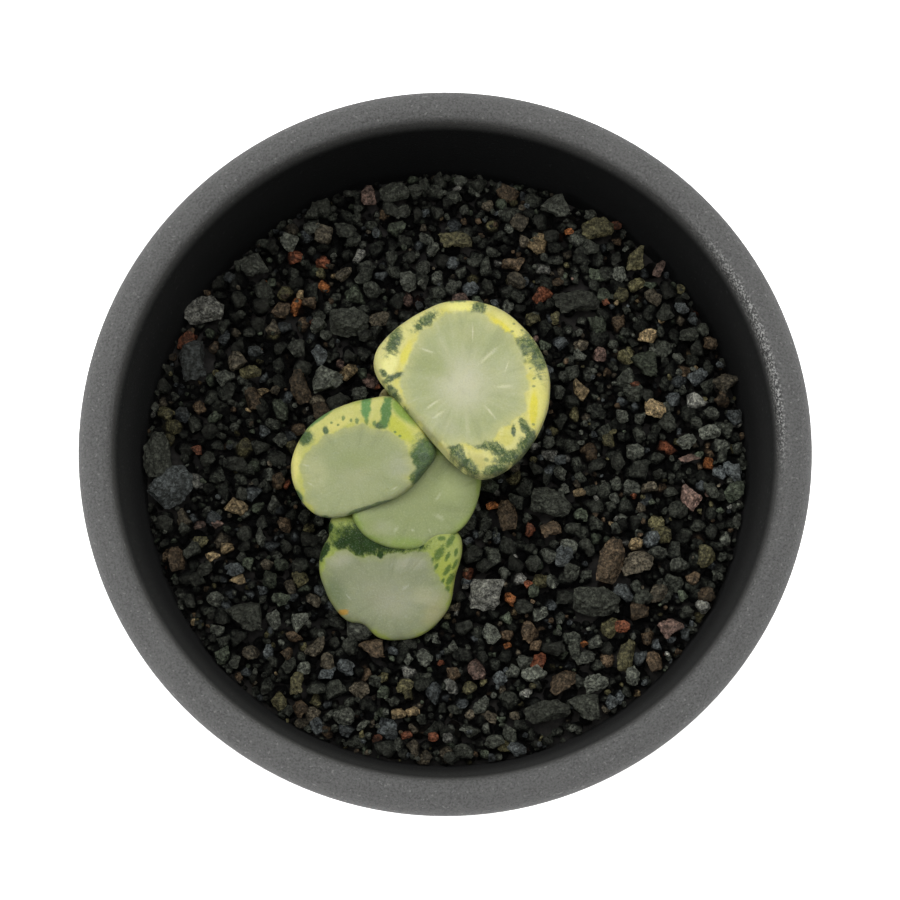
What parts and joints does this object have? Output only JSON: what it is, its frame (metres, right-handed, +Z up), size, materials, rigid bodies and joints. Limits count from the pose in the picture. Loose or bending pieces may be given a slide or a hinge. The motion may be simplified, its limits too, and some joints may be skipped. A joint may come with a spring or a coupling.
{
  "type": "potted haworthia",
  "caption": "Potted window-leaved haworthia: stout leaves with flat translucent tips in dark volcanic grit, in a round black plastic pot with a thick rounded rim.",
  "frame": {"origin": "centre of the pot's foot, on the surface that it stands on", "axes": "+Z up; -Y towards the plant's lowest leaf, the front; +X to the right as seen from the front"},
  "size_m": [0.075, 0.075, 0.0657],
  "materials": {
    "pot_plastic": "finely textured matt near-black plastic",
    "grit": "rough dark volcanic grit",
    "leaf": "smooth waxy variegated leaf, translucent window",
    "root": "dull fleshy root and short stem"
  },
  "bodies": {
    "root": {"pot": "pot_plastic", "soil": "grit", "leaf_back": "leaf", "leaf_left": "leaf", "leaf_middle": "leaf", "leaf_front": "leaf", "stem_and_roots": "root"}
  },
  "joints": []
}
